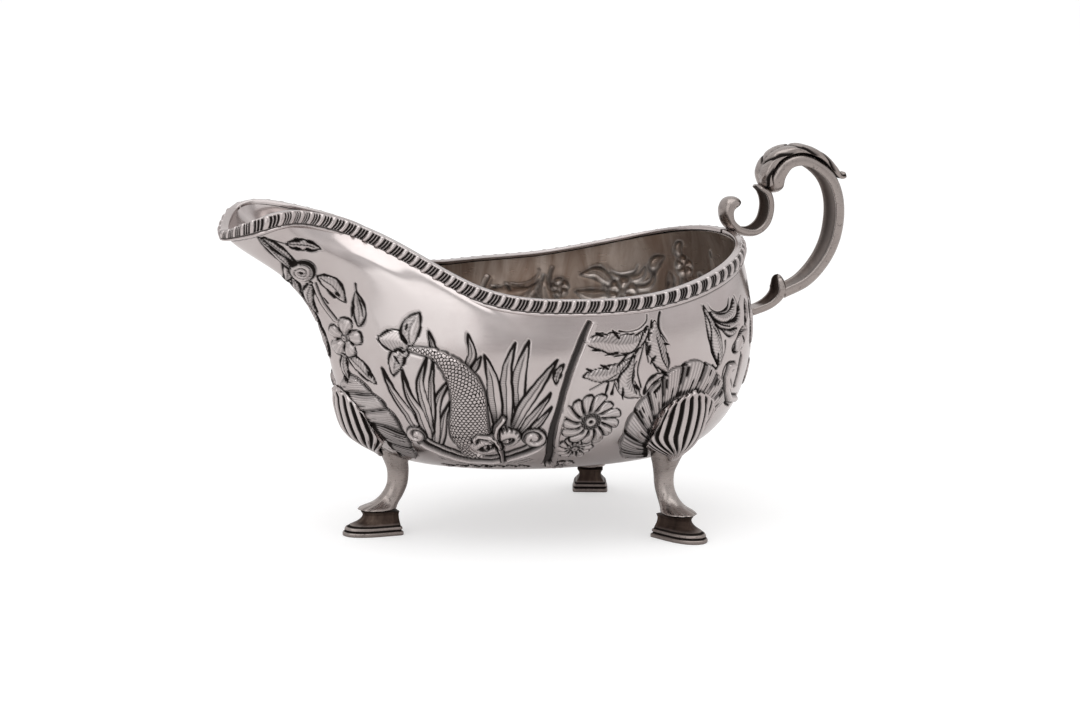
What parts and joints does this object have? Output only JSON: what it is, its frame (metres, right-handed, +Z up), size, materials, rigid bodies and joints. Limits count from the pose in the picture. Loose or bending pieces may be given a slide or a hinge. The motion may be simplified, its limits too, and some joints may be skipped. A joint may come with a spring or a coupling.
{
  "type": "sauce boat",
  "caption": "Silver sauce boat with chased bowl, pouring lip, gadrooned rim, leaf-capped flying scroll handle and legs with shell knees and stepped feet.",
  "frame": {"origin": "middle of the overall box, on the surface that the feet stand on", "axes": "+Z up, +X towards the handle, the lip points to -X, -Y is the side that the picture shows"},
  "size_m": [0.199, 0.0916, 0.1105],
  "materials": {
    "silver_bowl": "polished",
    "silver_border": "polished",
    "silver_casting": "satin"
  },
  "bodies": {
    "root": {"bowl": "silver_bowl", "rim_border_near": "silver_border", "rim_border_far": "silver_border", "handle_rim_scroll": "silver_casting", "handle_main_scroll": "silver_casting", "handle_leaf_cap": "silver_casting", "handle_lower_scroll": "silver_casting", "knee_shell_front": "silver_casting", "knee_shell_near": "silver_casting", "knee_shell_far": "silver_casting", "leg_front": "silver_casting", "leg_near": "silver_casting", "leg_far": "silver_casting", "foot_front": "silver_casting", "foot_near": "silver_casting", "foot_far": "silver_casting"}
  },
  "joints": []
}
